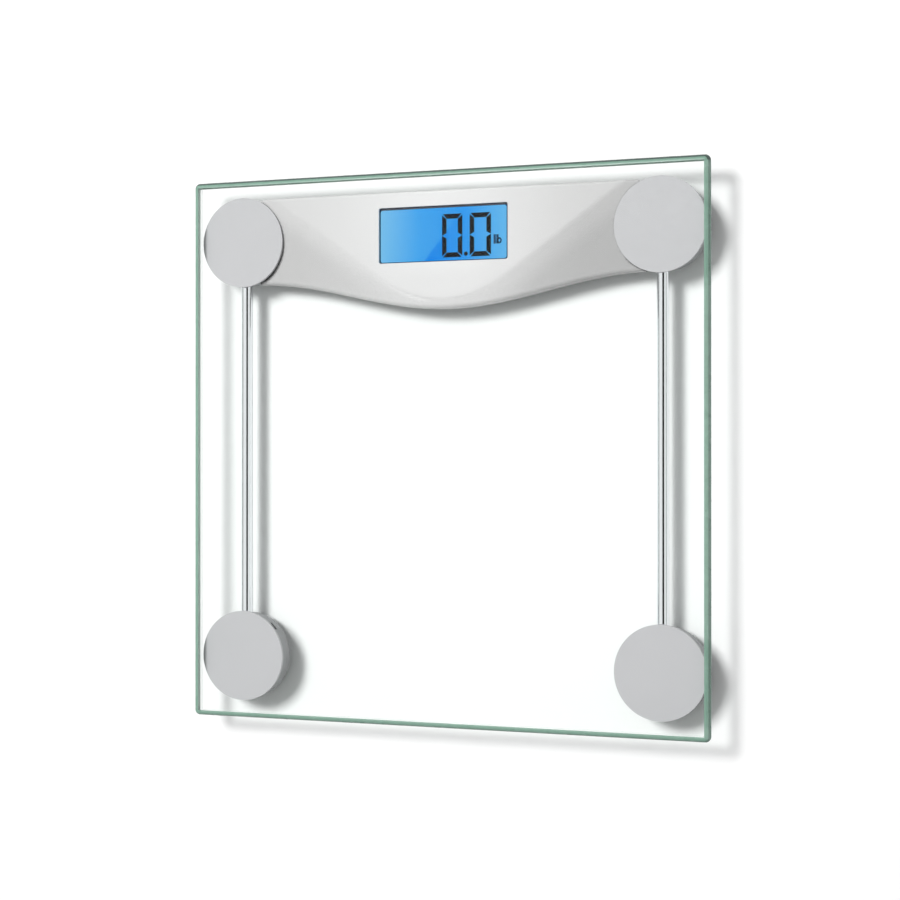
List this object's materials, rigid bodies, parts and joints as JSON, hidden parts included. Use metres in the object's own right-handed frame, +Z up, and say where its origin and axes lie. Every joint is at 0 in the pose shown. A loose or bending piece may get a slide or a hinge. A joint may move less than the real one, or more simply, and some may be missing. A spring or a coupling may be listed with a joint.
{
  "type": "glass bathroom scale",
  "caption": "Square clear-glass bathroom scale with round feet at the corners, chrome tubes beneath the glass and a silver display housing with a lit blue screen.",
  "frame": {"origin": "on the floor under the middle of the square platform", "axes": "+X to the right, +Y towards the display, +Z up out of the glass"},
  "size_m": [0.3, 0.3, 0.024],
  "materials": {
    "clear_glass": "polished, clear, green at the edge",
    "silver_plastic": "metallic silver, satin",
    "dark_plastic": "fine moulded texture",
    "black_foam": "closed-cell foam",
    "display": "lit blue liquid-crystal display",
    "white_plastic": "moulded",
    "clear_plastic": "clear acrylic",
    "lamp_body": "epoxy",
    "pink_rubber": "striped elastomer",
    "circuit_board": "solder mask",
    "black_plastic": "potting epoxy",
    "plated_steel": "nickel plated",
    "plated_brass": "turned",
    "light_plastic": "moulded",
    "cell_sleeve": "printed shrink sleeve, plain",
    "red_insulation": "insulation",
    "white_insulation": "insulation",
    "gauge_film": "polyimide film",
    "label_foil": "matt foil, blank",
    "chrome": "bright plated",
    "satin_metal": "satin silver",
    "spring_steel": "rolled",
    "pad_rubber": "ribbed"
  },
  "bodies": {
    "platform": {"glass_platform": "clear_glass", "top_cover": "silver_plastic", "bottom_cover": "dark_plastic", "display_gasket": "black_foam", "lcd_panel": "display", "lcd_frame": "white_plastic", "light_guide": "clear_plastic", "backlight_leds": "lamp_body", "zebra_strip": "pink_rubber", "main_pcb": "circuit_board", "board_components": "black_plastic", "pcb_screws": "plated_steel", "tact_switch": "black_plastic", "battery_1": "cell_sleeve", "battery_2": "cell_sleeve", "bridge_contact": "plated_steel", "positive_terminal": "plated_steel", "negative_terminal": "plated_steel", "battery_leads": "red_insulation", "cover_screws": "plated_steel", "cap_screws": "plated_steel", "strain_gauges": "gauge_film", "rating_label": "label_foil", "tube_left": "chrome", "tube_right": "chrome", "corner_cap_rear_left": "satin_metal", "corner_cap_rear_right": "satin_metal", "corner_cap_front_left": "satin_metal", "corner_cap_front_right": "satin_metal", "foot_housing_rear_left": "silver_plastic", "foot_housing_rear_right": "silver_plastic", "foot_housing_front_left": "silver_plastic", "foot_housing_front_right": "silver_plastic", "load_cell_rear_left": "spring_steel", "load_cell_rear_right": "spring_steel", "load_cell_front_left": "spring_steel", "load_cell_front_right": "spring_steel", "wires_rear_left": "red_insulation", "wires_rear_right": "red_insulation", "wires_front_left": "white_insulation", "wires_front_right": "white_insulation"},
    "foot_body_rear_left": {"foot_rear_left": "dark_plastic", "foot_pad_rear_left": "pad_rubber"},
    "foot_body_rear_right": {"foot_rear_right": "dark_plastic", "foot_pad_rear_right": "pad_rubber"},
    "foot_body_front_left": {"foot_front_left": "dark_plastic", "foot_pad_front_left": "pad_rubber"},
    "foot_body_front_right": {"foot_front_right": "dark_plastic", "foot_pad_front_right": "pad_rubber"},
    "door_body": {"battery_door": "dark_plastic"},
    "button_body": {"unit_button": "light_plastic", "switch_plunger": "plated_brass"}
  },
  "joints": [
    {"name": "foot_travel_rear_left", "type": "slide", "parent": "platform", "child": "foot_body_rear_left", "axis": [0, 0, 1], "range_m": [0, 0.0006], "stiffness_N_per_m": 8000, "springref_m": -0.0009},
    {"name": "foot_travel_rear_right", "type": "slide", "parent": "platform", "child": "foot_body_rear_right", "axis": [0, 0, 1], "range_m": [0, 0.0006], "stiffness_N_per_m": 8000, "springref_m": -0.0009},
    {"name": "foot_travel_front_left", "type": "slide", "parent": "platform", "child": "foot_body_front_left", "axis": [0, 0, 1], "range_m": [0, 0.0006], "stiffness_N_per_m": 8000, "springref_m": -0.0009},
    {"name": "foot_travel_front_right", "type": "slide", "parent": "platform", "child": "foot_body_front_right", "axis": [0, 0, 1], "range_m": [0, 0.0006], "stiffness_N_per_m": 8000, "springref_m": -0.0009},
    {"name": "battery_door_hinge", "type": "hinge", "parent": "platform", "child": "door_body", "pos_m": [0.0489, 0.1187, 0.0042], "axis": [0, 1, 0], "range_deg": [0, 95]},
    {"name": "unit_button_press", "type": "slide", "parent": "platform", "child": "button_body", "axis": [0, 0, 1], "range_m": [0, 0.0004], "stiffness_N_per_m": 1500, "springref_m": -0.0004}
  ]
}
